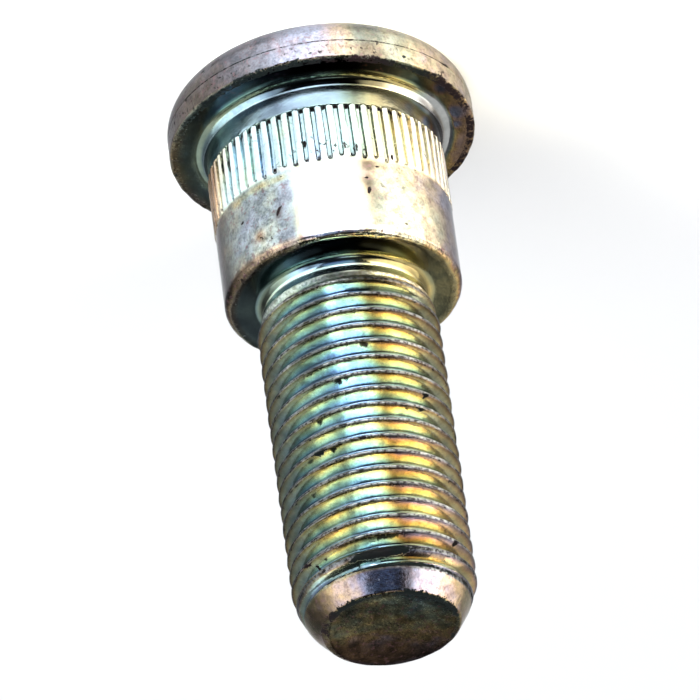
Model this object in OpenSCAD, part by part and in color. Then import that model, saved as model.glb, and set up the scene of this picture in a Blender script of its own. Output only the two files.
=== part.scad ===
// Press-in wheel stud: round forged head, serrated press zone, plain shoulder, fine thread.
// The stud stands on the flat back of its head. Z runs up the shank to the threaded tip.
// All sizes are in millimetres.

/* [Head] */
// Diameter of the round head
head_d = 21.3; // [19:0.1:26]
// Thickness of the head, from its flat back to the flat seat under it
head_t = 4; // [3.4:0.05:4.8]
// Radius of the large rounding around the back of the head
back_round = 2.4; // [0.5:0.05:2.8]
// Small rounding between the head's rim and its flat seat
seat_edge = 0.2; // [0.05:0.01:0.4]
// Fillet between the flat seat and the neck
seat_fillet = 0.72; // [0.3:0.02:0.9]

/* [Neck and serrations] */
// Diameter of the plain neck between the head and the serrations
neck_d = 16.2; // [15.8:0.05:16.3]
// Height above the head's back at which the serrations start
serr_z0 = 6.15; // [5.9:0.05:7]
// Height above the head's back at which the serrations end
serr_z1 = 10.75; // [9.5:0.05:12]
// Diameter over the serration crests
serr_d = 16.5; // [16.45:0.01:16.9]
// Depth of the serration grooves below the crests
serr_depth = 0.4; // [0.3:0.02:0.5]
// Number of straight serrations around the shank
serr_n = 64; // [48:1:72]

/* [Shoulder] */
// Diameter of the plain shoulder
shoulder_d = 16.4; // [16:0.05:16.4]
// Height above the head's back of the shoulder's end face
shoulder_z = 16.9; // [15:0.1:22]
// Rounding of the shoulder's outer edge
shoulder_edge = 0.6; // [0.2:0.05:1]
// Fillet between the shoulder's end face and the thread's run-in
step_fillet = 0.78; // [0.3:0.02:0.9]

/* [Thread] */
// Major diameter of the thread (half-inch fine thread, measured over the crests)
thread_d = 12.55; // [12.2:0.05:12.7]
// Pitch of the thread (twenty turns per inch)
thread_pitch = 1.27; // [1.25:0.01:1.6]
// Turns of the thread from the shoulder's end face to where it reaches its full diameter
run_in_turns = 1.6; // [1.5:0.05:3]
// Diameter of the plain undercut between the shoulder and the first thread
undercut_d = 10.86; // [10.6:0.02:11.4]
// Height above the head's back at which the thread starts to run out at the tip
thread_z1 = 40.4; // [34:0.1:40.6]

/* [Tip] */
// Diameter at the wide end of the plain cone at the tip
cone_d = 11.3; // [11:0.02:11.8]
// Height above the head's back of the cone's wide end
cone_z = 41.9; // [41.4:0.05:42.4]
// Diameter of the flat end face
tip_d = 9.7; // [8:0.1:10.4]
// Overall length of the stud
length = 43.35; // [43:0.05:46]
// Depth of the slight hollow in the end face left by the shearing of the bar
tip_dish = 0.18; // [0.05:0.01:0.3]

/* [Hidden] */
$fn = 96;

head_r = head_d / 2;
neck_r = neck_d / 2;
serr_r = serr_d / 2;
root_r = serr_r - serr_depth;
shoulder_r = shoulder_d / 2;
undercut_r = undercut_d / 2;
thread_r = thread_d / 2;
cone_r = cone_d / 2;
tip_r = tip_d / 2;
cone_edge = 0.12;
run_in = run_in_turns * thread_pitch;
thread_z0 = shoulder_z + run_in;
// the undercut rises to the thread at about 45 degrees, clear of the fillet
ramp = min(thread_r - undercut_r, run_in - step_fillet - 0.1);

// Points of a circular arc, from angle a0 to a1, in n steps.
function arc(cx, cy, r, a0, a1, n = 8) =
    [for (i = [0:n]) [cx + r * cos(a0 + (a1 - a0) * i / n), cy + r * sin(a0 + (a1 - a0) * i / n)]];

// Half section of everything that is turned about the axis: radius first, height second.
section = concat(
    [[0, 0]],
    // flat back, then the large rounding up to the rim
    arc(head_r - back_round, back_round, back_round, -90, 0, 12),
    // rim, and its small edge at the seat
    arc(head_r - seat_edge, head_t - seat_edge, seat_edge, 0, 90, 4),
    // flat seat, fillet, neck
    arc(neck_r + seat_fillet, head_t + seat_fillet, seat_fillet, -90, -180, 8),
    // the neck widens a little to the shoulder, hidden under the serrations
    [[neck_r, serr_z0 + 0.6],
     [shoulder_r, serr_z1 - 0.6]],
    // shoulder and its rounded outer edge
    arc(shoulder_r - shoulder_edge, shoulder_z - shoulder_edge, shoulder_edge, 0, 90, 8),
    // end face, fillet, undercut
    arc(undercut_r + step_fillet, shoulder_z + step_fillet, step_fillet, -90, -180, 8),
    // thread at its major diameter, then its run-out
    [[undercut_r, thread_z0 - ramp],
     [thread_r, thread_z0],
     [thread_r, thread_z1],
     [cone_r, cone_z],
     // plain cone and end face
     [tip_r, length - cone_edge],
     [tip_r - cone_edge, length],
     [tip_r - 1.1, length],
     [0, length - tip_dish]]
);

// Sleeve that the serrated ring fills: bevelled at both ends, hollow inside.
ring_section = [
    [neck_r - 1, serr_z0],
    [neck_r - 0.02, serr_z0],
    [serr_r + 0.02, serr_z0 + 0.28],
    [serr_r + 0.02, serr_z1 - 0.3],
    [shoulder_r - 0.02, serr_z1],
    [neck_r - 1, serr_z1]
];

// Ring section that is cut away before the serrated ring goes in.
seat_section = [
    [root_r - 0.2, serr_z0],
    [serr_r + 1, serr_z0],
    [serr_r + 1, serr_z1],
    [shoulder_r - 0.04, serr_z1],
    [root_r - 0.04, serr_z1 - 0.55],
    [root_r - 0.2, serr_z1 - 0.55]
];

// Outline of the serrated ring: a flat-topped tooth and a V groove, repeated around.
function tooth_at(i) = let (p = 360 / serr_n, a = i * p)
    [[serr_r * cos(a - 0.27 * p), serr_r * sin(a - 0.27 * p)],
     [serr_r * cos(a + 0.27 * p), serr_r * sin(a + 0.27 * p)],
     [root_r * cos(a + 0.5 * p), root_r * sin(a + 0.5 * p)]];
ring_outline = [for (i = [0:serr_n - 1]) each tooth_at(i)];

module serrations() {
    intersection() {
        translate([0, 0, serr_z0 - 0.2])
            linear_extrude(height = serr_z1 - serr_z0 + 0.4) polygon(ring_outline);
        rotate_extrude() polygon(ring_section);
    }
}

module stud() {
    color([0.72, 0.72, 0.62]) union() {
        difference() {
            rotate_extrude() polygon(section);
            rotate_extrude() polygon(seat_section);
        }
        serrations();
    }
}

stud();
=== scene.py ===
import bpy, math
import numpy as np
from mathutils import Matrix, Vector


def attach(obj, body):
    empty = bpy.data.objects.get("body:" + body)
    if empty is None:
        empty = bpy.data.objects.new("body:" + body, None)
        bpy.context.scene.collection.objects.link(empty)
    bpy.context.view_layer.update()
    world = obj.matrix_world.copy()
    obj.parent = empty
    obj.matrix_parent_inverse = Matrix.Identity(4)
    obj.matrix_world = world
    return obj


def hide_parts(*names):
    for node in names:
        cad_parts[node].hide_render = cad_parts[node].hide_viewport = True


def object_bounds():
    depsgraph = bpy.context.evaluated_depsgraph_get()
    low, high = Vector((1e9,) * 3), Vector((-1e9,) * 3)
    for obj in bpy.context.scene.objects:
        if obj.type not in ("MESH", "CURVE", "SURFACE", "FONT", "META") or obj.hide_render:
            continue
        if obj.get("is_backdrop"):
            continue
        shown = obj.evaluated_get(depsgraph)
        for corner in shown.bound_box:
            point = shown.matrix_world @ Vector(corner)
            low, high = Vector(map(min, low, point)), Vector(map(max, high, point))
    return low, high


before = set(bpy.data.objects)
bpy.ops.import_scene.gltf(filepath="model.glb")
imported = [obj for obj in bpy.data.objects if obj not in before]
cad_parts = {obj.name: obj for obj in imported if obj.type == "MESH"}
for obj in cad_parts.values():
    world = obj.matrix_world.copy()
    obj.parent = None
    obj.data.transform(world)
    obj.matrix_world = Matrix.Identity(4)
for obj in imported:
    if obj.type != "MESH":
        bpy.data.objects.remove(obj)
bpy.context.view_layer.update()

TAU = 2 * math.pi
MM = 0.001

# ------------------------------------------------------------------ camera
# Elevation, roll and distance come from the outlines in the photograph.
ELEV, ROLL = math.radians(32.95), math.radians(172.06)
TARGET = Vector((0.0, 0.0, 0.013278))
DIST, FPX = 0.6275, 9126.0
AIM = (338.2, 256.3)
back = Vector((0.0, -math.cos(ELEV), math.sin(ELEV)))
side, rise = Vector((1.0, 0.0, 0.0)), Vector((0.0, math.sin(ELEV), math.cos(ELEV)))
cr, cu = math.cos(ROLL), math.sin(ROLL)
c_right = side * cr + rise * cu
c_up = side * -cu + rise * cr
look = Vector(((AIM[0] - 350) / FPX, -(AIM[1] - 350) / FPX, -1.0)).normalized()
basis = Matrix((c_right, c_up, back)).transposed()
swing = look.rotation_difference(Vector((0, 0, -1))).to_matrix()
cam_data = bpy.data.cameras.new("camera")
cam_data.sensor_width = 36.0
cam_data.lens = FPX / 700 * 36.0
cam_data.clip_start, cam_data.clip_end = 0.01, 20.0
cam = bpy.data.objects.new("camera", cam_data)
cam.matrix_world = Matrix.Translation(TARGET + back * DIST) @ (basis @ swing).to_4x4()
bpy.context.collection.objects.link(cam)
bpy.context.scene.camera = cam

# ------------------------------------------------------------------ sizes, in millimetres
HEAD_R, HEAD_T, BACK_R = 10.65, 4.0, 2.4
NECK_R, SHOULDER_R, SHOULDER_Z = 8.1, 8.2, 16.9
SERR_N, SERR_R, SERR_Z0, SERR_Z1 = 64, 8.25, 6.13, 10.75
UNDER_R, MAJOR_R, ROOT_R, PITCH = 5.43, 6.275, 5.5, 1.27
BLANK_R = 5.9
TIP_Z, CONE_Z, CONE_R, TIP_R = 43.35, 41.9, 5.65, 4.85
CREST0 = 0.125          # height of a crest at the front, modulo the pitch


def smooth(x, a, b):
    t = np.clip((np.asarray(x, float) - a) / (b - a), 0, 1)
    return t * t * (3 - 2 * t)


def noise(phi, z, around, cell, seed):
    """Smooth value noise on the shank: `around` cells round the axis, `cell` mm tall. From -1 to 1."""
    table = np.random.default_rng(seed).uniform(-1, 1, (211, around))
    phi, z = np.broadcast_arrays(np.asarray(phi, float), np.asarray(z, float))
    x, y = (phi / TAU % 1) * around, z / cell + 57
    x0, y0 = np.floor(x).astype(int), np.floor(y).astype(int)
    fx, fy = x - x0, y - y0
    fx, fy = fx * fx * (3 - 2 * fx), fy * fy * (3 - 2 * fy)
    g = lambda i, j: table[j % 211, i % around]
    return ((g(x0, y0) * (1 - fx) + g(x0 + 1, y0) * fx) * (1 - fy)
            + (g(x0, y0 + 1) * (1 - fx) + g(x0 + 1, y0 + 1) * fx) * fy)


# ------------------------------------------------------------------ mesh builder
# phi is measured from the front (-Y) towards +X.
verts, faces, marks = [], [], []     # marks: crest, groove, flat, rim, tipface, serr, fall


def add(phi, r, z, mark):
    """Adds a ring or column of points; mark is a tuple of six numbers or arrays, or seven."""
    phi, r, z = np.broadcast_arrays(np.asarray(phi, float), np.asarray(r, float), np.asarray(z, float))
    first = sum(len(v) for v in verts)
    verts.append(np.stack([r * np.sin(phi), -r * np.cos(phi), z], -1).reshape(-1, 3))
    mark = tuple(mark) + (0,) * (7 - len(mark))
    marks.append(np.stack([np.broadcast_to(np.asarray(m, float), phi.shape) for m in mark], -1).reshape(-1, 7))
    return np.arange(first, first + phi.size)


def close(lo, hi):
    """Faces between two closed rings of any counts, lower ring first."""
    n, m = len(lo), len(hi)
    if n == m:
        a, b = np.roll(lo, -1), np.roll(hi, -1)
        faces.extend(np.stack([lo, a, b, hi], -1).tolist())
        return
    i = j = 0
    while i < n or j < m:
        if j >= m or (i < n and (i + 1) * m <= (j + 1) * n):
            faces.append([int(lo[i % n]), int(lo[(i + 1) % n]), int(hi[j % m])])
            i += 1
        else:
            faces.append([int(lo[i % n]), int(hi[(j + 1) % m]), int(hi[j % m])])
            j += 1


def stitch(left, right, zl, zr):
    """Faces between two open columns that run upwards and share no points."""
    i = j = 0
    while i < len(left) - 1 or j < len(right) - 1:
        if j >= len(right) - 1 or (i < len(left) - 1 and zl[i + 1] <= zr[j + 1]):
            faces.append([int(left[i]), int(right[j]), int(left[i + 1])])
            i += 1
        else:
            faces.append([int(left[i]), int(right[j]), int(right[j + 1])])
            j += 1


def ang(n):
    return np.arange(n) * TAU / n


def arc(cx, cz, r, a0, a1, n):
    t = np.radians(np.linspace(a0, a1, n))
    return list(zip(cx + r * np.cos(t), cz + r * np.sin(t)))


# --- head: back, rounding, rim, seat, fillet, neck
N = 256
A = ang(N)
O = (0, 0, 0, 0, 0, 0)
centre = add([0.0], [0.0], [0.0], O)
prof = [(r, 0.0, O) for r in (1.5, 3.2, 5.0, 6.6, 7.7)]
prof += [(r, z, O) for r, z in arc(HEAD_R - BACK_R, BACK_R, BACK_R, -90, -2, 15)]
prof += [(HEAD_R, 2.46, O), (HEAD_R, 2.53, O), (HEAD_R - 0.02, 2.56, O), (HEAD_R - 0.08, 2.585, O),
         (HEAD_R - 0.006, 2.61, (0, 0, 0, .3, 0, 0)), (HEAD_R + 0.0, 2.65, (0, 0, 0, 1, 0, 0))]
prof += [(HEAD_R, z, (0, 0, 0, 1, 0, 0)) for z in (2.8, 3.0, 3.2, 3.4, 3.55, 3.66)]
prev = None
ragged = 0.055 * noise(A, 0, 120, 1, 3) + 0.05 * noise(A, 0, 61, 1, 4) + 0.03 * noise(A, 0, 190, 1, 5)
for r, z, m in prof:
    rr = r + 0.012 * noise(A, z, 40, 1.3, 11) * (r > 9) + 0.008 * noise(A, z, 110, 0.5, 12) * (m[3] > 0)
    zz = z + (0.004 + 0.01 * noise(A, r, 9, 2.0, 13)) * (z == 0.0) * 0 + 0 * A
    ring = add(A, np.minimum(rr, HEAD_R), np.maximum(zz, 0.0), m)
    if prev is None:
        faces.extend([[int(centre[0]), int(ring[(i + 1) % N]), int(ring[i])] for i in range(N)])
    else:
        close(prev, ring)
    prev = ring
# the seat's edge is ragged where the forging was sheared
edge = 0.2
for k, t in enumerate(np.radians([5, 28, 50, 70, 90])):
    e = edge + ragged + 0.05 * np.abs(noise(A, 0, 90, 1, 6)) * (k > 1)
    ring = add(A, HEAD_R - e + e * np.cos(t), HEAD_T - e * (1 - np.sin(t)) - 0.02 * (k == 2) * noise(A, k, 150, 1, 8),
               (0, 0, .25 * k, 1 - .2 * k, 0, 0))
    close(prev, ring); prev = ring
for r in (10.3, 10.1, 9.85, 9.55, 9.25, 9.0):
    wave = 0.010 * noise(A, r, 10, 1.5, 21) + 0.004 * noise(A, r, 40, .5, 22)
    ring = add(A, r, HEAD_T + wave, (0, 0, 1, 0, 0, 0)); close(prev, ring); prev = ring
for k, (r, z) in enumerate(arc(NECK_R + 0.78, HEAD_T + 0.72, 0.72, -90, -176, 11)):
    ring = add(A, r, z, (0, 0, max(0, 1 - k / 3), 0, 0, 0)); close(prev, ring); prev = ring
for z in (4.9, 5.15, 5.4, 5.65, 5.85, 6.0):
    ring = add(A, NECK_R + 0.05 * max(0, (5.8 - z) / .9) ** 2 + 0.004 * noise(A, z, 36, 1, 23), z, O); close(prev, ring); prev = ring

# --- serrations: eight columns to a tooth
T = np.array([0, .18, .275, .355, .5, .645, .725, .82])
PER = len(T)
tooth = np.repeat(np.arange(SERR_N), PER)
tt = np.tile(T, SERR_N)
rs = np.random.default_rng(41)
t_shift, t_deep = rs.normal(0, .018, SERR_N), rs.normal(1, .07, SERR_N)
t_end, t_high = rs.uniform(-.22, .2, SERR_N), rs.normal(0, .008, SERR_N)
PS = (tooth + tt) * TAU / SERR_N
for z in (6.06, 6.11, 6.135, 6.17, 6.23, 6.32, 6.46, 6.7, 7.05, 7.5, 8.0, 8.5, 9.0, 9.45, 9.8, 10.05, 10.22, 10.36, 10.5,
          10.62, 10.74, 10.86, 11.0):
    u = np.minimum(tt, 1 - tt)                       # 0 on the crest, 0.5 in the groove
    half = np.interp(z, [6.1, 6.25, 6.6, 9.6, 10.6], [.325, .285, .27, .27, .30])
    v = np.clip((u - half) / .075, 0, 1) * (.84 + .16 * smooth(u, .36, .5))
    end = SERR_Z1 + t_end[tooth] - .12 * u
    deep = smooth(z, 6.115, 6.175) * (1 - smooth(z, end - .32, end + .02)) * t_deep[tooth]
    body = NECK_R + (SHOULDER_R - NECK_R) * smooth(z, 6.2, 10.4)
    crest = smooth(z, 6.10, 6.22) * (1 - smooth(z, end - .2, end + .1))
    lift = (SERR_R + t_high[tooth] - body) * crest * (1 - smooth(u, .24, .335))
    r = body + lift - deep * 0.20 * v
    r = r + .006 * noise(PS, z, 150, .5, 42) * crest + .004 * noise(PS, z, 90, .3, 43)
    phi = PS + (t_shift[tooth] + .02 * noise(PS, z, 64, 1.6, 44)) * TAU / SERR_N * smooth(z, 6.1, 6.4)
    g = deep * v
    ring = add(phi, r, z, (0, np.clip(g, 0, 1), 0, 0, 0, crest))
    close(prev, ring); prev = ring

# --- shoulder, its worn outer edge, the step face and the fillet
def dents(phi, z):
    """Small knocks in the shoulder: angle in degrees, height, two half widths in mm, turn, depth."""
    out = 0 * phi
    for a, h, w1, w2, turn, d in KNOCKS:
        x = ((phi - math.radians(a) + math.pi) % TAU - math.pi) * SHOULDER_R
        y = z - h
        c, s = math.cos(math.radians(turn)), math.sin(math.radians(turn))
        out = out - d * np.exp(-((x * c + y * s) / w1) ** 2 - ((y * c - x * s) / w2) ** 2)
    return out


# dark marks seen on the part: angle, height, half widths, turn, strength
SPOTS = [(48.5, 13.0, .20, .13, 0, .95), (54, 13.1, .30, .10, 0, .35), (26.5, 13.8, .13, .36, -28, .75), (24, 13.5, .10, .16, 0, .5),
         (37.5, 15.2, .12, .34, 42, .62), (32, 15.6, .14, .20, 0, .55), (53, 16.0, .55, .09, 0, .45), (22, 11.2, .22, .07, -8, .95),
         (17, 12.8, .08, .08, 0, .6), (24.5, 11.8, .10, .10, 0, .5), (15, 13.2, .07, .10, 0, .5), (-.5, 11.75, .42, .07, 8, .42),
         (-19, 12.35, .26, .14, 0, .66), (-19.5, 13.3, .12, .32, -12, .9), (-20, 14.6, .08, .08, 0, .5), (-25, 11.35, .20, .06, 6, .7),
         (-36.6, 15.7, .10, .10, 0, .9), (-43, 12.0, .08, .07, 0, .5), (-38.5, 14.8, .10, .10, 0, .45), (-45, 15.4, .08, .07, 0, .5),
         (-45, 9.3, .10, .14, 0, .7), (-45.3, 9.95, .10, .12, 0, .7), (53, 7.4, .16, .60, 0, .6), (58.5, 7.2, .16, .7, 0, .6),
         (-10.5, 9.6, .14, .34, 0, .62), (-16, 9.8, .14, .36, 0, .62), (-17, 8.9, .10, .2, 0, .6), (-33.8, 10.3, .09, .22, 0, .9),
         (-5, 10.1, .14, .3, 0, .5), (9, 9.0, .16, .08, 0, .7), (3, 8.8, .12, .06, 0, .6),
         (35.8, 3.2, .20, .20, 30, .52), (28.7, 3.15, .22, .18, 0, .62), (10.5, 1.45, .12, .12, 0, .9), (-37, 3.4, .17, .15, 0, .9),
         (-15, 2.6, .12, .08, 0, .6), (46, 1.5, .3, .12, 0, .5), (56, 1.55, .25, .1, 0, .5), (-59, 2.5, .4, .12, 20, .6),
         (-15.3, 3.3, .25, .4, 0, .42), (15.6, 29.15, .16, .14, 0, .9), (12, 28.0, .35, .12, 0, .8), (5, 28.0, .15, .12, 0, .7),
         (0, 31.9, .20, .12, 0, .8), (4, 30.6, .12, .12, 0, .8), (30, 30.6, .22, .12, 0, .7), (22, 33.1, .3, .10, 0, .8),
         (43, 33.2, .25, .10, 0, .7), (45, 35.6, .2, .12, 0, .8), (30, 32.1, .4, .12, 0, .6), (6, 35.4, .12, .1, 0, .7),
         (-36, 30.4, .14, .1, 0, .8), (-41, 29.3, .16, .1, 0, .7), (-47, 28.0, .2, .1, 0, .7), (-10, 25.3, .3, .12, 0, .6),
         (-18, 38.1, .3, .1, 0, .6), (-56, 39.4, .14, .14, 0, .9)]
KNOCKS = [(27, 14.1, .22, .5, 20, .05), (47, 14.5, .25, .3, 0, .05), (38, 16.1, .35, .5, -30, .07),
          (4, 11.6, .3, .12, 10, .02), (-16, 12.2, .25, .3, 0, .05), (-19, 13.1, .18, .25, 0, .05)]
C = ang(320)
for z in np.arange(11.14, 16.2, .19):
    r = SHOULDER_R + .006 * noise(C, z, 26, 1.4, 51) + .005 * noise(C, z, 80, .5, 52) + dents(C, z)
    ring = add(C, np.minimum(r, SHOULDER_R + .006), z, O); close(prev, ring); prev = ring
wear = .50 + .09 * noise(C, 0, 34, 1, 53) + .05 * noise(C, 0, 90, 1, 54)
for k, t in enumerate(np.radians(np.linspace(0, 90, 10))):
    e = wear
    r = SHOULDER_R - e + e * np.cos(t) + .014 * noise(C, k * .3, 110, .5, 55) * math.sin(t)
    z = SHOULDER_Z - .50 * (1 - np.sin(t)) + .016 * noise(C, k * .3 + 9, 120, .4, 56) * math.sin(2 * t)
    ring = add(C, np.minimum(r, SHOULDER_R), z, (0, 0, smooth(k, 6, 9), .8 * math.sin(t) ** 2, 0, 0))
    close(prev, ring); prev = ring
for r in (7.3, 7.0, 6.7, 6.45, 6.3):
    ring = add(A, r, SHOULDER_Z + .006 * noise(A, r, 12, 1.2, 57), (0, 0, 1, 0, 0, 0)); close(prev, ring); prev = ring
for k, (r, z) in enumerate(arc(UNDER_R + .78, SHOULDER_Z + .78, .78, -90, -178, 10)):
    ring = add(A, r, z, (0, 0, max(0, 1 - k / 3), 0, 0, 0)); close(prev, ring); prev = ring

# --- thread: a helical grid, each station carries one pitch of the profile
NT = 128
B = ang(NT)
U = np.array([-.5, -.465, -.43, -.395, -.36, -.13, -.105, -.08, -.045, .0, .045, .08, .105, .13, .36, .395, .43, .465])
M = len(U)
DEPTH = MAJOR_R - ROOT_R


def bevel(phi):
    """The end's edge is worn back on one side."""
    return np.exp(-(((np.degrees(phi) - 92 + 180) % 360 - 180) / 40) ** 2)


def thread_r(phi, z):
    """Radius of the threaded part, and how much of it is crest and how much is root."""
    turn = (z - CREST0) / PITCH - phi / TAU
    u = np.abs((turn + .5) % 1 - .5)
    drop = np.clip((u - .0625) * PITCH * math.sqrt(3), 0, None)
    soft = .030 * np.exp(-((u - .0625) / .022) ** 2)               # broken crest corner
    root = smooth(u, .33, .46)
    x = np.clip(u - .36, 0, None)                                  # the root is rounded
    r = MAJOR_R - drop - soft * (u > .03) + PITCH * math.sqrt(3) * x ** 2 / .28
    crest = 1 - smooth(u, .055, .105)
    rough = crest * (.014 * noise(phi, z, 63, .3, 61) + .018 * noise(phi, z, 31, .8, 62)
                     - .05 * np.clip(noise(phi, z, 57, .5, 63) - .55, 0, 1))
    r = r - .010 * crest + rough
    # run-in: the rolled land before the first full groove
    land = UNDER_R + (BLANK_R - UNDER_R) * smooth(z, 18.0, 18.35)
    g = smooth(z, 18.35, 19.45)
    r = land + (r - land) * g + .015 * noise(phi, z, 120, .25, 64) * smooth(z, 18.1, 18.5) * (1 - g)
    crest = crest * smooth(z, 18.4, 19.0) + .6 * smooth(z, 18.2, 18.4) * (1 - g)
    # run-out at the tip
    side = bevel(phi)
    top = np.interp(z, [30, 40.35, CONE_Z, TIP_Z - .12], [MAJOR_R + .05, MAJOR_R, CONE_R, TIP_R]) - .30 * side * smooth(z, 42.3, 43.3)
    top = top + .035 * np.exp(-((z - 41.55) / .09) ** 2)                # thin lip where the rolls left the blank
    top = top + .02 * noise(phi, z, 60, .5, 65) * smooth(z, 40.3, 40.8) * (1 - smooth(z, 41.6, 42.0))
    cut = smooth(r - top, -.02, .06) * smooth(z, 40.2, 40.7)
    r = np.minimum(r, top)
    plain = smooth(z, CONE_Z - .1, CONE_Z + .15) * cut
    fall = np.clip((MAJOR_R - r) / DEPTH, 0, 1) * g * (1 - cut)
    return r, np.clip(crest * (1 - plain) + .5 * cut * (1 - plain), 0, 1), root * g * (1 - cut), fall


def shank(phi, z):
    r, crest, root, fall = thread_r(phi, z)
    return add(phi, r, z, (crest, root, 0, 0, 0, 0, fall))


Z_H0, TURNS = 17.95, 17
S = TURNS * NT
z_start = CREST0 + PITCH * (math.ceil((Z_H0 - CREST0) / PITCH - .5) + .5)   # a root centre at phi 0
st = np.arange(S + 1)
phi_s = (st % NT) * TAU / NT
grid_z = z_start + PITCH * st[:, None] / NT + PITCH * (U + .5)[None, :]
grid = shank(np.repeat(phi_s[:, None], M, 1), grid_z).reshape(S + 1, M)
q = np.stack([grid[:-1, :-1], grid[1:, :-1], grid[1:, 1:], grid[:-1, 1:]], -1).reshape(-1, 4)
faces.extend(q.tolist())
lo_, hi_ = grid[:S + 1 - NT, M - 1], grid[NT:, 0]
q = np.stack([lo_[:-1], lo_[1:], hi_[1:], hi_[:-1]], -1)
faces.extend(q.tolist())
# below the first turn
KB = 14
z_ring = 17.72
first = add(B, UNDER_R, z_ring, O)
close(prev, first)
rows = [first]
for k in range(1, KB):
    rows.append(shank(B, z_ring + (z_start + PITCH * np.arange(NT) / NT - z_ring) * k / KB))
rows.append(grid[:NT, 0])
for lo, hi in zip(rows[:-1], rows[1:]):
    faces.extend(np.stack([lo[:-1], lo[1:], hi[1:], hi[:-1]], -1).tolist())
VZ = lambda ids: np.concatenate(verts)[np.asarray(ids), 2]
left = [int(r[NT - 1]) for r in rows]
right = [int(r[0]) for r in rows] + [int(i) for i in grid[0, 1:]] + [int(grid[NT, 0])]
stitch(left, right, VZ(left), VZ(right))
# above the last turn
KT, Z_CAP = 9, 41.5
UP = (41.55, 41.6, 41.66, 41.72, 41.78, 41.84, 41.9, 41.96, 42.05, 42.2, 42.4, 42.6, 42.8, 42.95, 43.07, 43.15, 43.22)
rows = [grid[S - NT:S, M - 1]]
z_edge = grid_z[S - NT:S, M - 1]
for k in range(1, KT + 1):
    rows.append(shank(B, z_edge + (Z_CAP - z_edge) * k / KT))
for lo, hi in zip(rows[:-1], rows[1:]):
    faces.extend(np.stack([lo[:-1], lo[1:], hi[1:], hi[:-1]], -1).tolist())
# seam: the last column runs up the first column of the rows, then the end station
left = [int(grid[S - 1, M - 1])] + [int(r[NT - 1]) for r in rows[1:]]
end_col = [int(grid[S, M - 1])]
right_low = [int(i) for i in grid[S, :]]
seam_hi = rows[-1][0]
# right side of the seam, from the end station's top to the ring
zr = VZ([int(grid[S, M - 1])])[0]
extra = []
for k in range(1, KT):
    extra.append(int(shank(np.zeros(1), np.array([zr + (Z_CAP - zr) * k / KT]))[0]))
right = [int(grid[S, M - 1])] + extra + [int(seam_hi)]
stitch(left, right, VZ(left), VZ(right))
# left side of the seam: the first cell of the rows already uses column 0 of each row
col0 = [int(grid[S - NT, M - 1])] + [int(r[0]) for r in rows[1:]]
chain = [int(grid[S - NT, M - 1])] + right_low + extra + [int(seam_hi)]
chain_z, col_z = VZ(chain), VZ(col0)
i = j = 0
while i < len(chain) - 1 or j < len(col0) - 1:
    if j >= len(col0) - 1 or (i < len(chain) - 1 and chain_z[i + 1] <= col_z[j + 1]):
        if len({chain[i], chain[i + 1], col0[j]}) == 3:
            faces.append([chain[i], col0[j], chain[i + 1]])
        i += 1
    else:
        if len({chain[i], col0[j], col0[j + 1]}) == 3:
            faces.append([chain[i], col0[j], col0[j + 1]])
        j += 1
prev = rows[-1]
for z in UP:
    ring = shank(B, z + 0 * B); close(prev, ring); prev = ring

# --- tip: broken edge and end face
worn = bevel(B)
for r, z, m, w in ((TIP_R - .04, TIP_Z - .08, .2, .42), (TIP_R - .10, TIP_Z - .03, .6, .56), (TIP_R - .17, TIP_Z, 1, .62)):
    ring = add(B, r - w * worn + .03 * noise(B, z, 50, 1, 71) * m, z - .02 * (noise(B, z, 60, 1, 72) > .3) * (m < 1), (0, 0, 0, 0, m, 0))
    close(prev, ring); prev = ring
for r in (4.5, 4.25, 3.9, 3.5, 3.05, 2.6, 2.1, 1.6, 1.1, .6):
    z = TIP_Z - .02 - .12 * (1 - (r / 4.7) ** 2) + .020 * noise(B, r, 14, .7, 73) * (r / 4.5) + .014 * noise(B, r, 40, .4, 74) * (r / 4.5)
    ring = add(B, r * (1 - .13 * worn * r / 4.5), np.minimum(z, TIP_Z), (0, 0, 0, 0, 1, 0)); close(prev, ring); prev = ring
mid = add([0.0], [0.0], [TIP_Z - .17], (0, 0, 0, 0, 1, 0))
faces.extend([[int(prev[i]), int(prev[(i + 1) % NT]), int(mid[0])] for i in range(NT)])

V = np.concatenate(verts) * MM
K = np.concatenate(marks)
mesh = bpy.data.meshes.new("stud_metal")
mesh.from_pydata(V.tolist(), [], faces)
mesh.validate()
for n, name in enumerate(("crest", "groove", "flat", "rim", "tipface", "serr", "fall")):
    mesh.attributes.new(name, "FLOAT", "POINT").data.foreach_set("value", K[:, n].astype(np.float32))

# painted masks, from each point's angle (degrees, 0 at the front, + towards +X), radius and height
pv = V / MM
pa, pr, pz = np.degrees(np.arctan2(pv[:, 0], -pv[:, 1])), np.hypot(pv[:, 0], pv[:, 1]), pv[:, 2]
ph = np.radians(pa)
m_crest, m_groove, m_flat, m_rim, m_tip, m_serr, m_fall = K.T


def band(v, a, b, soft=.08):
    return smooth(v, a - soft, a + soft) * (1 - smooth(v, b - soft, b + soft))


def blob(a, z, w, h, turn=0, flat_face=False):
    """A soft spot: its angle, height (radius on a flat face), half widths round and along, in mm, and turn."""
    x = np.radians((pa - a + 180) % 360 - 180) * pr
    y = (pr if flat_face else pz) - z
    c, q = math.cos(math.radians(turn)), math.sin(math.radians(turn))
    return np.exp(-((x * c + y * q) / w) ** 2 - ((y * c - x * q) / h) ** 2)


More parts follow.
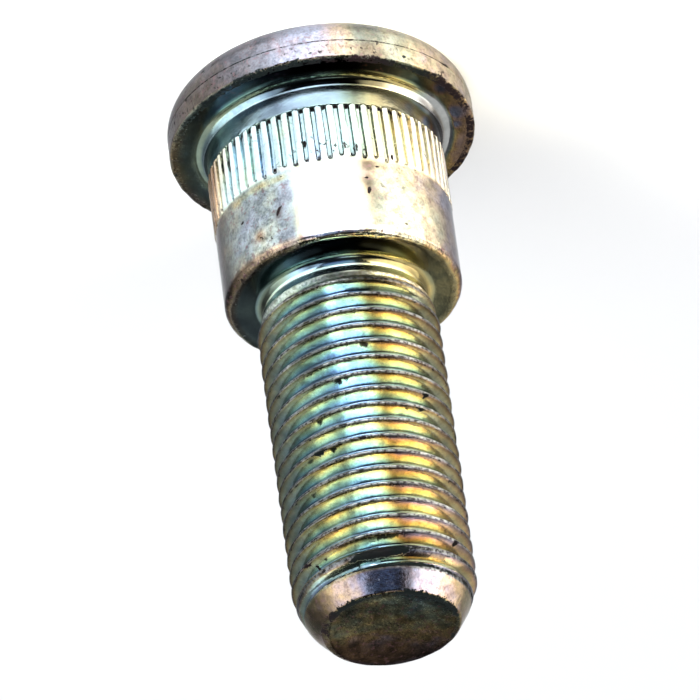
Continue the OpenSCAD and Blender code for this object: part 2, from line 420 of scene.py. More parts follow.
on_head = smooth(pr, 8.9, 9.1) * (pz < 4.05)
on_rim = on_head * (1 - m_flat) * smooth(pr, 9.2, 9.6)
on_neck = band(pz, 4.15, 6.1) * (pr < 8.9)
on_serr = band(pz, 6.15, 10.7, .15) * (pr < 9)
on_shoulder = band(pz, 10.8, 16.75, .15) * (pr > 7.4)
on_step = m_flat * (pr < 8.0)
on_under = band(pz, 17.0, 18.3) * (pr < 6.6)
on_thread = smooth(pz, 18.2, 18.6) * (1 - m_tip)
on_cone = smooth(pz, 41.75, 42.0) * (1 - m_tip)

px = pv[:, 0] + .8 * noise(ph, pz, 7, 6.0, 92)


def turn(*pairs):
    """A value that changes round the part: pairs of angle and value, closed at the back."""
    a = np.array([p for p, _ in pairs], float)
    v = np.array([q for _, q in pairs], float)
    where = pa + 2.2 * noise(ph, pz, 24, 1.1, 120) + 1.2 * noise(ph, pz, 60, .5, 121)
    return np.interp(where, a, v, period=360)


def left(a, b):
    """From 0 to 1 between two angles on the +X side, and back to 0 at the rear."""
    return smooth(pa, a, b) * (1 - smooth(pa, 118, 172))


def right(a, b):
    return smooth(-pa, a, b) * (1 - smooth(-pa, 118, 172))


# film hue: 0 blue, .14 teal, .28 green, .42 olive, .56 gold, .70 pink, .84 lavender
hue_v = np.interp(px, [-10.7, -8, -5, -2.2, -.8, 2, 4, 6, 10.7], [.66, .58, .53, .50, .30, .22, .30, .30, .26])
helix = pz - PITCH * ph / TAU
# on the thread the film changes from crest to root; this is its drift round the thread and along it
hue_t = turn((-180, -.06), (-75, -.14), (-50, -.10), (-30, -.06), (-20, -.03), (-12, -.20), (0, -.32), (14, -.34), (30, -.27), (60, -.30), (110, -.12))
hue_t += .06 * noise(ph, helix, 5, 1.27, 93) + (.16 - .06 * band(pa, -10, 12, 6)) * smooth(pz, 27, 39) * (1 - .75 * left(32, 48)) + .05 * noise(ph, helix, 9, 2.54, 94)
paint = lambda m, v: hue_v * (1 - m) + v * m
hue_v = paint(on_neck, np.interp(px, [-9, -7.85, -7.04, -5.7, -4.1, -2.8, -1.4, 0, 1.4, 2.8, 6, 9],
                                 [.92, .90, .10, .50, .54, .40, .10, .04, .02, .0, .08, .10]))
hue_v = paint(on_serr, np.interp(px, [-9, -5, -3, -1, 0, 4, 7, 8.3], [.60, .50, .36, .10, .12, .14, .20, .66]))
hue_v += on_serr * (-.02 * m_groove + .10 * noise(ph, pz, 64, 2.5, 122))
hue_v = paint(np.clip(on_step, 0, 1), np.interp(px, [-8, -5, -2.5, 0, 3, 8], [.44, .40, .40, .20, .08, .10]))
hue_v = paint(band(pz, 17.0, 18.1) * (pr < 6.3) * band(px, -1.6, 3.2, .8), .02)
hue_v = paint(on_shoulder, np.interp(px, [-8.2, -7, -5, -3.4, -2.4, -1.5, 1.6, 2.4, 3.2, 4.1, 5.8, 7.2, 8.2],
                                     [.90, .62, .50, .52, .70, .78, .92, .08, .04, .32, .20, .40, .98]))
hue_v = paint(on_rim, np.interp(px, [-10.7, -7, -3.6, -2.6, -1, 3, 6, 10.7], [.60, .50, .52, .72, .94, .99, .96, .62]))
hue_v = paint(on_cone, np.interp(px, [-5.5, -3, -1.7, 0, 1.2, 1.6, 2.4, 3.4, 5.5], [.50, .80, .90, .98, .93, .76, .72, .66, .56]))
hue_v += (on_shoulder + on_rim) * .14 * noise(ph, pz, 14, 2.4, 95) + on_shoulder * .08 * noise(ph, pz, 40, .8, 96)
seat = m_flat * on_head
hue_v = paint(seat, np.interp(pv[:, 0], [-10.7, -9.3, -8.2, -7, -4, -2, 3, 7, 9.5, 10.7], [.76, .73, .52, .32, .34, .30, .16, .08, .12, .50]))
hue_v += seat * (.12 * noise(ph, pr, 22, .7, 97) + .6 * (blob(-60, 9.9, .6, .5, 0, True) + blob(-79, 9.6, .7, .6, 0, True)
                                                        + blob(-88, 9.2, .4, .4, 0, True)))
hue_v = paint(np.clip(m_tip, 0, 1), np.interp(pv[:, 1] + .25 * pv[:, 0], [-4.5, -2, 0, 2, 4.5], [.16, .34, .56, .72, .86]))
hue_v += m_tip * .12 * noise(ph, pr, 9, 1.3, 98)

# how dull (grey) the film is, and how light; that tone is mostly painted light, reflections and shade painted by angle
# round each zone, with some random tone
dull_v = (.55 * on_shoulder + on_rim * (.48 + .22 * left(5, 25)) + on_serr * (.22 + .50 * right(12, 34) + .30 * left(28, 45))
          * (1 - .7 * m_groove) + on_neck * (.08 + .35 * right(20, 40)) + .10 * m_tip + .12 * on_cone
          + on_thread * (.22 * right(48, 64) + .12 * left(50, 66)))
tone_and_painted_light_v = np.ones(len(pv))
set_tone = lambda m, v: tone_and_painted_light_v * (1 - m) + m * v
inner = on_head * (pr < 9.05) * (pr > 8.2) * (pz < 4.75)
collar = band(pr, 8.15, 9.15, .15) * (pz < 4.75) * right(48, 64)
hue_v = paint(collar, .02)
dull_v += .65 * collar
# painted light: the rim's tone by angle paints its reflections, darkest towards +X
tone_and_painted_light_v = set_tone(on_rim, turn((-180, .62), (-100, .6), (-75, .74), (-60, .74), (-45, .92), (-29, .74), (-24, .36), (-18, .34),
                               (-13, .85), (-2, .97), (9, .68), (15, .36), (24, .27), (45, .26), (60, .22), (78, .04), (86, .16), (100, .42), (125, .58)))
# painted shade: the rounded back near the floor is darker; the noise is random tone
tone_and_painted_light_v *= 1 + on_rim * (.14 * noise(ph, pz, 30, 1.1, 101) - .36 * band(pz, .2, 1.66, .14) - .12 * band(pz, 1.66, 2.5, .1))
# painted light: the neck's and fillet's tone by angle paints their bright and dark reflections
tone_and_painted_light_v = set_tone(on_neck, turn((-180, .9), (-78, .15), (-60, .62), (-45, 2.2), (-30, 1.15), (-20, .19), (-8, .6), (8, .72), (20, .42),
                                (30, 1.2), (45, 1.75), (60, .66), (78, .3)))
tone_and_painted_light_v = set_tone(on_neck * smooth(pz, 5.35, 5.6), turn((-180, .9), (-78, .5), (-60, 1.6), (-45, 2.4), (-30, .75), (-20, .3), (-8, .6),
                                                        (8, .55), (20, .32), (30, .50), (45, 1.9), (60, 1.6), (78, 1.2)))
tone_and_painted_light_v *= 1 + on_neck * band(pz, 4.1, 4.6, .12) * (.6 * right(60, 76) - .6 * band(pa, -36, -22, 3) + .3 * band(pa, 24, 36, 4))
# painted reflection: a near-black band across the front of the fillet
tone_and_painted_light_v *= 1 - on_neck * .97 * band(pz, 4.1, 4.55, .12) * band(pa, -23, 16, 3)
# painted light: the shoulder's front is a painted highlight and its sides are painted darker; the blobs and the noise
# add patchy tone
tone_and_painted_light_v = set_tone(on_shoulder, turn((-180, .75), (-100, .6), (-75, .70), (-62, .84), (-50, .85), (-30, .86), (-24, .55), (-19, .42), (-15, 1), (15, 1),
                                    (19, .58), (30, .98), (45, .68), (60, .55), (76, .06), (84, .14), (98, .42), (120, .62)))
tone_and_painted_light_v *= 1 - on_shoulder * (.62 * blob(-20, 12.7, .40, 1.0) + .40 * blob(-22, 11.3, .8, .35) + .30 * blob(-55, 11.5, .8, .5) + .15 * blob(-35, 14.5, .5, .6)
                             + .55 * blob(26, 13.9, .22, .62, -28) + .48 * blob(38, 15.1, .22, .5, 40) + .28 * blob(52, 15.4, .9, .7)
                             + .20 * blob(44, 12.2, .5, .9) + .25 * blob(22, 15.7, .6, .3) - .40 * blob(33, 14.6, 1.6, .12, 14)
                             - .30 * blob(47, 14.3, .8, .25, 30) + .20 * blob(62, 13.4, .6, 1.4))
tone_and_painted_light_v += on_shoulder * (.10 * noise(ph, pz, 22, 1.6, 102) + .06 * noise(ph, pz, 44, .8, 123)) * smooth(np.abs(pa), 14, 20)
# painted light: the serrations' tone by angle paints their reflections, and the grooves are painted darker than the
# crests as shade
tone_and_painted_light_v = set_tone(on_serr, (1.45 - .60 * smooth(m_groove, .0, .38)) * turn((-180, .8), (-72, 1.1), (-60, 1.15), (-45, 1.6), (-36, 1.2), (-20, .95),
                                                                        (20, .95), (32, 1.3), (46, 1.8), (54, 1.6), (64, 1.1), (69, .75), (77, .24), (86, .42), (100, .75),
                                                                        (120, .6)))
# painted shade: the lower serrations are darker on the front, towards -X
tone_and_painted_light_v *= 1 - on_serr * .34 * smooth(pz, 8.6, 10.2) * band(pa, -30, 5, 6) * (1 + .6 * noise(ph, pz, 60, .4, 137))
# painted reflection: the seat and the step are near black at the front and lighter round the sides
seat_painted_dark_reflection = turn((-180, .5), (-80, .42), (-60, .13), (-45, .10), (-34, .03), (-29, .008), (-22, .004), (17, .006), (21, .02), (31, .14), (45, .12),
                  (60, .24), (80, .5))
tone_and_painted_light_v = set_tone(np.clip(seat, 0, 1), seat_painted_dark_reflection)
tone_and_painted_light_v = set_tone(np.clip(on_step * (pz < 17.0), 0, 1), turn((-180, .5), (-80, .58), (-60, .28), (-45, .22), (-36, .12), (-28, .015), (-22, .004),
                                                             (17, .006), (21, .03), (32, .18), (45, .16), (60, .2), (80, .55)))
# painted light: the undercut below the step is lightened by angle, and the fillet beside it is painted lighter and
# darker by angle
tone_and_painted_light_v = set_tone(on_under * (pr < 5.5), turn((-180, 1), (-78, .9), (-60, 1.8), (-45, 2.6), (-30, 2.6), (-18, 2.0), (-8, 2.6), (10, 2.6),
                                              (20, 2.6), (45, 2.6), (60, 2.6), (78, 1.1)))
fillet2 = on_under * (pr >= 5.5) * (pz < 17.75)
tone_and_painted_light_v = set_tone(fillet2, turn((-180, .6), (-75, .36), (-60, .42), (-45, .9), (-30, .72), (-20, .2), (-8, 1.1), (12, .9), (20, .30), (31, 1.6), (45, .90),
                                (58, .26), (76, .07), (110, .5)))
on_land = band(pz, 18.3, 18.9, .12)
# painted light: the thread's tone by angle paints its bright and dark reflections; the noise is random tone along the
# helix
tone_and_painted_light_v = set_tone(on_thread, turn((-180, .85), (-100, .7), (-75, .52), (-60, .55), (-50, 1.25), (-38, 1.25), (-28, 1.0), (-21, .66), (-17, .8),
                                  (-13, 1.4), (-7, 1.1), (0, .98), (6, 1.15), (12, 1.65), (17, .98), (22, .62), (30, .74), (46, 1.2), (58, .54),
                                  (78, .38), (110, .7)))
tone_and_painted_light_v *= 1 + on_thread * (.20 * noise(ph, helix, 7, 2.54, 131) + .14 * noise(ph, helix, 31, .64, 132))
# painted highlight: the lower thread is lighter between 18 and 36 degrees
low = smooth(pz, 24, 34)
tone_and_painted_light_v *= 1 + .85 * on_thread * low * band(pa, 18, 36, 4)
# painted light: crests, roots and the flank under each crest are lighter or darker by angle
crest_t, root_t, lip_t = m_crest * on_thread, on_thread * smooth(m_fall, .80, .97), on_thread * band(m_fall, .09, .24, .04)
tone_and_painted_light_v *= 1 - crest_t * turn((-180, .2), (-60, .0), (-20, .05), (-5, .15), (10, .35), (25, .45), (60, .45), (76, .62), (110, .3)) * (.55 + .45 * low)
tone_and_painted_light_v *= 1 + root_t * turn((-180, 0), (-62, -.1), (-45, -.35), (-30, -.1), (-20, .1), (-10, .9), (0, .6), (10, 1.1), (20, .0), (30, -.40), (45, -.50),
                            (60, -.15), (90, 0))
tone_and_painted_light_v *= 1 + lip_t * turn((-180, 0), (-75, -.3), (-60, -.2), (-45, -.3), (-30, .0), (-18, -.2), (-10, .3), (0, .1), (10, .6), (20, .4), (30, .25), (45, 0),
                           (90, 0)) * (1 - .7 * low)
# painted light: the land before the first groove is dark at the front and light at the sides
tone_and_painted_light_v = set_tone(on_land * (m_groove < .3), turn((-180, .9), (-76, .9), (-60, 1.7), (-45, 2.2), (-30, 1.9), (-20, .25), (-10, .06), (0, .10), (10, .2),
                                                 (20, .8), (30, 1.4), (45, 1.5), (60, 1.4), (76, .7)))
# painted light: the cone's tone by angle paints its reflections
tone_and_painted_light_v = set_tone(on_cone, turn((-180, .6), (-75, .7), (-60, .8), (-45, 1.5), (-30, 1.5), (-23, .8), (-18, .42), (-12, 1.0), (0, .95), (11, 1.0),
                                (16, .6), (21, .9), (30, 1.25), (38, 1.0), (45, .55), (55, .15), (82, .13), (100, .38), (130, .55)))
tip_y = pv[:, 1] + .25 * pv[:, 0]
# the end face is darker towards the rear and round its edge, with lighter and darker patches
tone_and_painted_light_v = set_tone(m_tip, .25 - .13 * smooth(tip_y, 0, 3.5) + .07 * noise(ph, pr, 12, 1.0, 103) + .06 * noise(ph, pr, 30, .5, 104) - .12 * smooth(pr, 4.0, 4.6)
                  + .45 * blob(-3, 3.7, .9, .34, 0, True) + .40 * blob(-44, 3.5, .8, .40, 0, True) + .12 * blob(80, 2.6, 1.1, 1.0, 0, True)
                  - .14 * blob(38, 3.9, .9, .45, 0, True) - .10 * blob(5, 2.2, 1.3, .8, 0, True))
# painted highlight: the shoulder's worn edge is strongly lightened at the front and darker towards +X
edge2 = band(pz, 16.4, 16.86, .1) * (pr > 7.5)
tone_and_painted_light_v = tone_and_painted_light_v * (1 - edge2 + edge2 * turn((-180, .8), (-75, .75), (-60, .8), (-45, 1.3), (-30, 3.2), (-19, 7.0), (-10, 2.0), (0, 2.6), (12, 1.7), (40, .95),
                                            (58, .25), (76, .22), (110, .6)))

brown_v = .75 * band(pz, 16.35, 16.95, .12) * (pr > 7.5) * left(8, 26) * (1 - left(90, 130))
brown_v += .35 * band(pz, 16.35, 16.95, .12) * (pr > 7.5) * right(12, 30)
brown_v += .40 * on_rim * band(pz, 2.7, 4.0, .3) * (band(pa, -28, -17, 2) + .5 * left(20, 50))
brown_v += .5 * blob(39, 14.9, .55, .4, 30) + .5 * blob(-21, 11.0, .6, .3) + .6 * seat * left(55, 80) * smooth(pr, 9.6, 10.4)
brown_v += .75 * on_serr * left(62, 73) * (1 - smooth(pa, 84, 112)) + .4 * seat * right(50, 75) * smooth(pr, 9.4, 10.3)
brown_v += .30 * on_serr * smooth(pz, 9.9, 10.6) * (1 - smooth(np.abs(pa + 5), 30, 50))
brown_v += .25 * on_cone * (band(pa, 28, 60, 6) + .5 * band(pa, -62, -45, 6)) + .9 * m_tip * smooth(tip_y, .8, 3.2) * (1 - .6 * smooth(-pv[:, 0], 0, 3))
cream = band(pz, 10.95, 11.5, .15) * on_shoulder * left(16, 24) * (1 - left(48, 60))
hue_v, dull_v = paint(cream, .46), dull_v * (1 - .6 * cream)
brown_v += .45 * blob(38, 15.1, .35, .5, 40) + .35 * blob(-20, 12.9, .4, .9) + .25 * blob(26, 13.9, .25, .6, -28)

grit_v = .68 * m_rim + .56 * m_crest + .45 * m_tip + .30 * on_shoulder * right(5, 25) * (1 - right(60, 80))
grit_v += .20 * on_shoulder * left(12, 25) * (1 - left(60, 80)) + .55 * on_serr * smooth(pz, 7.6, 9.6) + .38 * on_serr + .55 * edge2
grit_v += .45 * band(pz, 1.2, 1.9, .3) * on_rim + .6 * band(pz, 3.0, 3.9, .3) * on_rim + .25 * on_cone
grit_v = np.clip(grit_v * (.50 + 1.0 * np.clip(noise(ph, pz, 30, 1.6, 91) + .2, 0, 1)), 0, 1)
matte_v = .7 * on_rim + .25 * on_cone + .12 * on_shoulder + .20 * on_serr + .5 * m_tip + .5 * brown_v + .45 * on_land
mottle_v = (.70 * on_rim + on_shoulder * (.34 + .50 * left(16, 22) + .34 * right(15, 24)) * smooth(np.abs(pa), 12, 18)
            + .25 * on_serr + .12 * on_neck + .85 * m_tip + .22 * on_cone + .30 * on_thread + .95 * edge2 + .32 * seat)

# dark marks: real spots and deposits, and painted shade at the serration grooves and their ends and under the thread
# crests; above one half they read black, with an edge made ragged in the shader
# painted shadow: black where the serration grooves end at the neck
dirt_and_shade_v = .95 * m_groove * (1 - on_thread) * smooth(pz, 6.52, 6.22) * (pz < 8)
# painted shade: darker in the serration grooves, along their sides and at their lower ends, and in a band round the
# front there
dirt_and_shade_v += m_groove * on_serr * (.24 + .10 * noise(ph, pz, 50, .5, 134) + .16 * left(12, 35) * (1 - left(60, 75)) - .14 * right(15, 35))
dirt_and_shade_v += .04 * on_serr * np.clip(1 - np.abs(m_groove - .45) / .35, 0, 1) * (1 - .6 * right(15, 35))
dirt_and_shade_v += .26 * band(pz, 10.30, 10.65, .12) * (pr < 9) * m_groove * (1 + .8 * noise(ph, 0, 40, 1, 133)) + .22 * band(pz, 10.3, 10.8, .15) * (pr < 9) * band(pa, -36, 28, 4)
# a darker ragged band along the rim's rounded edge into the seat
dirt_and_shade_v += .60 * smooth(pz + .12 * noise(ph, 0, 170, 1, 111) + .13 * noise(ph, 0, 61, 1, 112), 3.56, 4.0) * (1 - .25 * left(40, 70)) * on_head * (pr > 9.9)
# a dark line along the small groove round the rim
dirt_and_shade_v += .56 * band(pz, 2.50, 2.63, .05) * on_rim * (1 - smooth(np.abs(pa + 2), 55, 75))
# a darker ragged band along the shoulder's rounded edge to the step
dirt_and_shade_v += .43 * smooth(pz + .05 * noise(ph, 0, 90, 1, 136), 16.68, 16.86) * (pr > 7.3) * (1 - .35 * smooth(np.abs(pa + 2), 22, 32)) * (pz < 16.95)
# painted shade: a dark line on the flank just under each thread crest
dirt_and_shade_v += on_thread * (1 - on_cone) * .50 * np.exp(-((m_fall - .13) / .10) ** 2) * smooth(pz, 18.7, 19.4) * (1 + .15 * noise(ph, helix, 19, .8, 124))
# the last turn and the end
dirt_and_shade_v += .80 * (blob(-10, 40.78, 1.5, .30) + blob(7, 40.92, 1.5, .28) + .8 * blob(-1, 40.86, 1.2, .24)) * (1 + .35 * noise(ph, pz, 70, .25, 138)) + .5 * band(pz, 41.60, 41.84, .05) * on_thread
dirt_and_shade_v += .5 * band(pz, 41.60, 41.86, .05) * band(pa, -27, 8, 4)
line = (pz - (39.65 + (54 - pa) * .086)) / .11
dirt_and_shade_v += .95 * np.exp(-line ** 2) * band(pa, 38, 55, 1.5) * (pz > 39) * (pz < 41.6)
rim2 = band(pz, 43.12, 43.36, .03) * (pr > 3.4) * (pz > 43.1) * smooth(pr, 4.15 - .5 * bevel(ph), 4.5 - .6 * bevel(ph))
dirt_and_shade_v += rim2 * (.34 + .24 * (band(pa, -48, -16, 5) + .45 * band(pa, 26, 56, 5)) + .16 * noise(ph, 0, 26, 1, 135))
dirt_and_shade_v += .38 * on_cone * band(pa, 50, 135, 6) * (.7 + .5 * noise(ph, pz, 20, .5, 125)) + .3 * m_tip * smooth(pr, 3.9, 4.5)
for a_, z_, w_, h_, t_, k_ in SPOTS:
    grow = 1.15 if z_ < 18 else .85
    dirt_and_shade_v += min(1.1, 1.3 * k_) * blob(a_, z_, grow * w_, grow * h_, t_)
dirt_and_shade_v += .5 * blob(-66, 10.1, .12, .12, 0, True) * seat + .5 * blob(67, 9.6, .05, .8, 0, True) * seat
# painted highlight: a lighter band along the lip round the front
tone_and_painted_light_v += .5 * on_thread * band(pz, 41.50, 41.60, .04) * band(pa, -52, 38, 5)
for name, val in (("hue", hue_v), ("hue_t", hue_t), ("dirt_and_shade", np.clip(dirt_and_shade_v, 0, 1)), ("grit", grit_v), ("matte", np.clip(matte_v, 0, 1)),
                  ("tone_and_painted_light", np.clip(tone_and_painted_light_v, .004, 2.6)), ("dull", np.clip(dull_v, 0, 1)), ("brown", np.clip(brown_v, 0, 1)),
                  ("mottle", np.clip(mottle_v, 0, 1)), ("thread", on_thread * (1 - on_cone) * smooth(pz, 18.7, 19.4))):
    mesh.attributes.new(name, "FLOAT", "POINT").data.foreach_set("value", np.asarray(val, dtype=np.float32))
mesh.polygons.foreach_set("use_smooth", [True] * len(mesh.polygons))
mesh.set_sharp_from_angle(angle=math.radians(38))
stud = bpy.data.objects.new("stud_metal", mesh)
bpy.context.collection.objects.link(stud)
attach(stud, "root")
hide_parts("stud")
print("TRIANGLES", sum(len(p.vertices) - 2 for p in mesh.polygons))


# ------------------------------------------------------------------ node helpers
class Nodes:
    def __init__(self, tree):
        self.t = tree
        tree.nodes.clear()

    def new(self, kind, **kw):
        n = self.t.nodes.new(kind)
        for k, v in kw.items():
            setattr(n, k, v)
        return n

    def put(self, sock, v):
        if isinstance(v, bpy.types.NodeSocket):
            self.t.links.new(v, sock)
        elif v is not None:
            sock.default_value = v

    def math(self, op, a, b=None, c=None, clamp=False):
        n = self.new("ShaderNodeMath", operation=op, use_clamp=clamp)
        for s, v in zip(n.inputs, (a, b, c)):
            self.put(s, v)
        return n.outputs[0]

    def mix(self, f, a, b, blend="MIX"):
        n = self.new("ShaderNodeMix", data_type="RGBA", blend_type=blend)
        self.put(n.inputs[0], f)
        self.put(n.inputs[6], a if isinstance(a, bpy.types.NodeSocket) else (*a, 1))
        self.put(n.inputs[7], b if isinstance(b, bpy.types.NodeSocket) else (*b, 1))
        return n.outputs[2]

    def lerp(self, f, a, b):
        n = self.new("ShaderNodeMix", data_type="FLOAT")
        self.put(n.inputs[0], f); self.put(n.inputs[2], a); self.put(n.inputs[3], b)
        return n.outputs[0]

    def new_rgb(self, v):
        n = self.new("ShaderNodeCombineColor")
        for sock in n.inputs[:3]:
            self.put(sock, v)
        return n.outputs[0]

    def attr(self, name):
        return self.new("ShaderNodeAttribute", attribute_name=name).outputs["Fac"]

    def noise(self, vec, scale, detail=2, rough=.5, dist=0, w=None):
        n = self.new("ShaderNodeTexNoise", noise_dimensions="4D" if w is not None else "3D")
        self.put(n.inputs["Vector"], vec)
        if w is not None:
            n.inputs["W"].default_value = w
        for k, v in (("Scale", scale), ("Detail", detail), ("Roughness", rough), ("Distortion", dist)):
            n.inputs[k].default_value = v
        return n.outputs["Fac"]

    def vor(self, vec, scale, feature="F1", rand=1.0):
        n = self.new("ShaderNodeTexVoronoi", feature=feature)
        self.put(n.inputs["Vector"], vec)
        n.inputs["Scale"].default_value = scale
        n.inputs["Randomness"].default_value = rand
        return n.outputs["Distance"]

    def step(self, v, a, b, lo=0.0, hi=1.0):
        n = self.new("ShaderNodeMapRange", interpolation_type="SMOOTHSTEP")
        for s, x in zip(n.inputs, (v, a, b, lo, hi)):
            self.put(s, x)
        return n.outputs[0]

    def ramp(self, v, stops):
        n = self.new("ShaderNodeValToRGB")
        self.put(n.inputs[0], v)
        e = n.color_ramp.elements
        while len(e) < len(stops):
            e.new(.5)
        for el, (p, c) in zip(e, stops):
            el.position, el.color = p, (*c, 1)
        return n.outputs[0]

    def bump(self, height, dist, strength=1.0, normal=None):
        n = self.new("ShaderNodeBump")
        n.inputs["Strength"].default_value = strength
        n.inputs["Distance"].default_value = dist
        self.put(n.inputs["Height"], height)
        if normal is not None:
            self.put(n.inputs["Normal"], normal)
        return n.outputs[0]


# ------------------------------------------------------------------ plated metal
mat = bpy.data.materials.new("plated_steel")
mat.use_nodes = True
N_ = Nodes(mat.node_tree)
out = N_.new("ShaderNodeOutputMaterial")
bsdf = N_.new("ShaderNodeBsdfPrincipled")
N_.t.links.new(bsdf.outputs[0], out.inputs[0])
pos = N_.new("ShaderNodeTexCoord").outputs["Object"]
sep = N_.new("ShaderNodeSeparateXYZ")
N_.put(sep.inputs[0], pos)
X, Y, Z = sep.outputs
crest, groove, fall = (N_.attr(n) for n in ("crest", "groove", "fall"))
hue, hue_t, dirt_and_shade, grit, matte, tone_and_painted_light, dull, brown, mottle, thread = (
    N_.attr(n) for n in ("hue", "hue_t", "dirt_and_shade", "grit", "matte", "tone_and_painted_light", "dull", "brown", "mottle", "thread"))
add_, mul, sub = (lambda a, b: N_.math("ADD", a, b)), (lambda a, b: N_.math("MULTIPLY", a, b)), (lambda a, b: N_.math("SUBTRACT", a, b))

# the passivate film: its thickness sets the colour, and it drifts across the part
fine = N_.noise(pos, 2100, 3, .6, w=7.0)
big = N_.noise(pos, 110, 3, .55)
mid_ = N_.noise(pos, 520, 4, .6, w=3.0)
blotch = N_.noise(pos, 1350, 4, .65, w=11.0)
grain = N_.noise(pos, 5600, 2, .6, w=1.0)
# crest to root: purple, orange, gold, green, teal, blue
turns = N_.ramp(fall, [(0.0, (.82,) * 3), (.16, (.74,) * 3), (.30, (.64,) * 3), (.52, (.54,) * 3), (.78, (.42,) * 3),
                       (.92, (.34,) * 3), (1.0, (.26,) * 3)])
film = add_(hue, mul(thread, sub(add_(turns, hue_t), hue)))
film = add_(film, add_(mul(sub(big, .5), .24), mul(sub(mid_, .5), .20)))
film = N_.math("ADD", film, mul(mottle, mul(sub(N_.noise(pos, 1000, 2, .5, w=13.0), .5), .9)), clamp=True)
base = N_.ramp(film, [(0.0, (.27, .38, .52)), (.14, (.29, .43, .45)), (.28, (.35, .45, .36)), (.42, (.47, .49, .32)),
                      (.54, (.60, .51, .24)), (.64, (.60, .41, .20)), (.74, (.55, .40, .34)), (.86, (.42, .36, .47)),
                      (1.0, (.30, .35, .54))])
base = N_.mix(dull, base, (.40, .40, .415))
base = N_.mix(brown, base, (.38, .23, .13))
torn = N_.mix(N_.step(N_.noise(pos, 4200, 2, .55, w=5.0), .40, .58), (.05, .05, .055), (.44, .46, .48))
base = N_.mix(crest, base, torn)
tone_and_painted_light = mul(tone_and_painted_light, N_.step(mid_, .30, .62, .80, 1.06))
tone_and_painted_light = mul(tone_and_painted_light, add_(1.0, mul(mottle, add_(N_.step(blotch, .34, .64, -.50, .28), N_.step(grain, .34, .64, -.26, .20)))))
# painted shade: on the thread, darker on the flank just under each crest and in the root
tone_and_painted_light = mul(tone_and_painted_light, N_.lerp(thread, 1.0, mul(N_.step(fall, .10, .42, .62, 1.12), N_.step(fall, .82, .97, 1.0, .55))))
base = N_.mix(1.0, base, N_.new_rgb(tone_and_painted_light), "MULTIPLY")
# brown and purple stains, then dark marks: painted shade in the corners, grooves and under the crests, real spots, and
# black specks where the surface was torn
stain = mul(mottle, N_.step(N_.noise(pos, 2700, 3, .6, w=17.0), .565, .64, 0, .80))
base = N_.mix(stain, base, (.15, .085, .095))
speck = N_.step(fine, .60, .66)
speck2 = N_.step(grain, .62, .70)
dark = N_.math("MAXIMUM", mul(speck, grit), mul(speck2, mul(grit, .8)))
wild = add_(mul(sub(fine, .5), .75), mul(sub(grain, .5), .75))
dark = N_.math("MAXIMUM", dark, N_.step(add_(dirt_and_shade, wild), .46, .58), clamp=True)
black_of_dirt_and_shade = N_.mix(N_.step(big, .42, .58), (.012, .007, .008), (.006, .009, .009))
base = N_.mix(dark, base, black_of_dirt_and_shade)
N_.put(bsdf.inputs["Base Color"], base)
N_.put(bsdf.inputs["Metallic"], N_.lerp(dark, 1.0, .02))
bsdf.inputs["Specular IOR Level"].default_value = .15
bsdf.inputs["Specular Tint"].default_value = (.62, .62, .64, 1)
rough = N_.lerp(crest, .12, .42)
rough = add_(rough, mul(matte, .22))
rough = add_(rough, mul(sub(mid_, .4), .16))
N_.put(bsdf.inputs["Roughness"], N_.lerp(dark, rough, .8))
h = mul(grain, N_.lerp(N_.math("MAXIMUM", crest, matte), .12, 1.0))
h = add_(h, mul(mul(blotch, mottle), 1.2))
N_.put(bsdf.inputs["Normal"], N_.bump(h, .000025, 1.0))
mesh.materials.append(mat)

# ------------------------------------------------------------------ floor and light
floor_mesh = bpy.data.meshes.new("floor")
F = 3.0
floor_mesh.from_pydata([(-F, -F, 0), (F, -F, 0), (F, F, 0), (-F, F, 0)], [], [(0, 1, 2, 3)])
floor = bpy.data.objects.new("floor", floor_mesh)
bpy.context.collection.objects.link(floor)
fm = bpy.data.materials.new("floor")
fm.use_nodes = True
fb = fm.node_tree.nodes["Principled BSDF"]
fb.inputs["Base Color"].default_value = (.86, .86, .86, 1)
fb.inputs["Roughness"].default_value = .9
fb.inputs["Specular IOR Level"].default_value = 0.0
floor_mesh.materials.append(fm)
floor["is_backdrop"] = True

world = bpy.data.worlds.new("studio")
bpy.context.scene.world = world
world.use_nodes = True
bg = world.node_tree.nodes["Background"]
bg.inputs[0].default_value = (.75, .88, 1.0, 1)
bg.inputs[1].default_value = .02


def heading(az, el):
    a, e = math.radians(az), math.radians(el)
    return Vector((math.sin(a) * math.cos(e), -math.cos(a) * math.cos(e), math.sin(e)))


def place(L, az, el, dist, target, glossy, diffuse=True):
    d = heading(az, el)
    o = bpy.data.objects.new(L.name, L)
    o.location = Vector(target) + d * dist
    o.rotation_mode = "QUATERNION"
    o.rotation_quaternion = d.to_track_quat("Z", "Y")
    o.visible_camera = False
    o.visible_glossy = glossy
    o.visible_diffuse = diffuse
    bpy.context.collection.objects.link(o)
    return o


def panel(name, az, el, dist, w, hgt, radiance, colour, glossy=True, diffuse=True, target=(0, 0, .02)):
    """A soft panel; azimuth from the camera's side towards +X, radiance in scene units."""
    L = bpy.data.lights.new(name, "AREA")
    L.shape = "RECTANGLE"
    L.size, L.size_y = w, hgt
    L.energy = radiance * math.pi * w * hgt
    L.color = colour
    return place(L, az, el, dist, target, glossy, diffuse)


def pool(name, az, el, dist, target, radius, level, colour, blend):
    """A soft round pool of light on the floor: level is the floor's radiance at its centre."""
    L = bpy.data.lights.new(name, "SPOT")
    L.spot_size = 2 * math.atan(radius / dist)
    L.spot_blend = blend
    L.shadow_soft_size = .008
    L.energy = level * 4 * math.pi ** 3 * dist ** 2 / (.86 * math.sin(math.radians(el)))
    L.color = colour
    return place(L, az, el, dist, target, False)


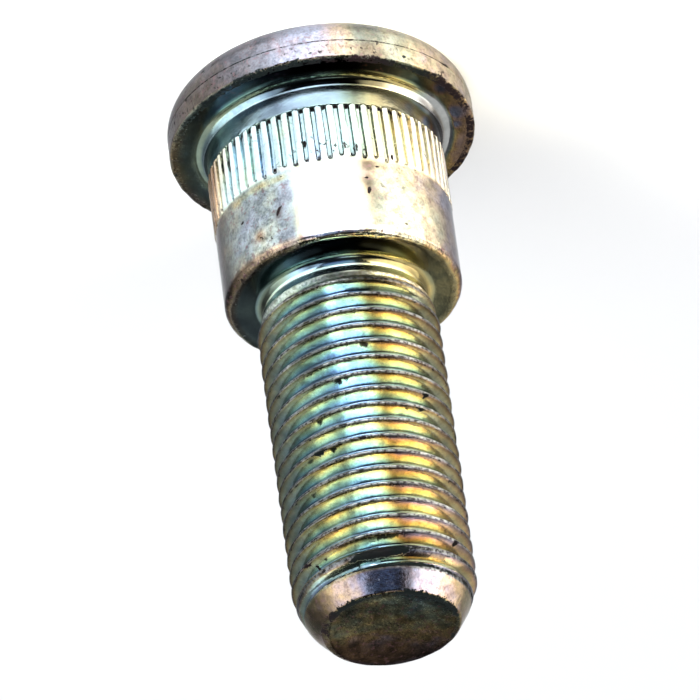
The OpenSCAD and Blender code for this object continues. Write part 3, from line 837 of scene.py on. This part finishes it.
panel("right_panel", -82, 18, 1.0, 1.68, 1.0, 2.5, (1.0, .93, .80), diffuse=False)
panel("right_soft", -82, 18, 1.0, 1.68, 1.0, 2.0, (1.0, .985, .96), glossy=False)
panel("left_panel", 72, 22, 1.0, 1.68, 1.1, 1.6, (.92, .97, 1.0))
panel("rear_right", -146, 20, 1.2, 1.25, 1.25, 1.0, (1.0, .93, .78), diffuse=False)
panel("rear_left", 138, 20, 1.2, 1.25, 1.25, .6, (.95, .98, 1.0), diffuse=False)
panel("front_panel", 0, 14.5, 1.2, .9, .70, .34, (.55, .72, 1.0), diffuse=False)
panel("back_panel", 180, 36, 1.2, 1.2, .5, .12, (1.0, .96, .86), diffuse=False)
panel("top_strip", -22, 64, 1.2, .34, .10, 2.2, (1.0, .97, .86), diffuse=False)
panel("high_left", 118, 58, 1.2, .5, .5, .5, (.94, 1.0, .90), diffuse=False)
panel("high_right", -118, 58, 1.2, .5, .5, 1.0, (1.0, .95, .78), diffuse=False)
panel("fill", 0, 84, 1.2, 1.4, 1.4, 3.4, (.98, .985, 1.0), glossy=False)
pool("front_pool", -3, 26, .7, (-.003, -.072, 0), .0235, 3.0, (1, 1, 1), .12)
pool("left_pool", 52, 45, .7, (.060, -.046, 0), .031, 1.1, (.94, 1.0, .88), .8)
pool("left_near", 84, 40, .7, (.025, -.004, 0), .019, .25, (1, 1, 1), .9)
pool("right_pool", -52, 33, .7, (-.052, -.040, 0), .030, 1.6, (1.0, .92, .70), .6)
pool("right_far", -84, 33, .7, (-.115, -.012, 0), .046, 1.9, (1.0, .94, .76), .5)

# a pale studio wall far behind everything; it lights and reflects nothing
wall_mesh = bpy.data.meshes.new("wall")
wm = bpy.data.materials.new("wall")
wm.use_nodes = True
wb = wm.node_tree.nodes["Principled BSDF"]
wb.inputs["Base Color"].default_value = (.8, .8, .8, 1)
wb.inputs["Emission Color"].default_value = (.93, .95, 1.0, 1)
wb.inputs["Emission Strength"].default_value = .80
wv, wf, WN = [], [], 48
for k in range(9):
    e = math.radians(k * 90 / 8)
    for i in range(WN):
        t = i * TAU / WN
        wv.append((2.9 * math.cos(e) * math.cos(t), 2.9 * math.cos(e) * math.sin(t), 2.9 * math.sin(e) - .002))
for k in range(8):
    for i in range(WN):
        a, b = k * WN + i, k * WN + (i + 1) % WN
        wf.append((b, a, a + WN, b + WN))
wall_mesh.from_pydata(wv, [], wf)
wall_mesh.materials.append(wm)
wall = bpy.data.objects.new("wall", wall_mesh)
bpy.context.collection.objects.link(wall)
wall.visible_diffuse = wall.visible_glossy = wall.visible_shadow = wall.visible_transmission = False
wall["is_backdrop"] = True

bpy.context.scene.view_settings.view_transform = "Standard"
bpy.context.scene.view_settings.look = "None"

lo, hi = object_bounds()
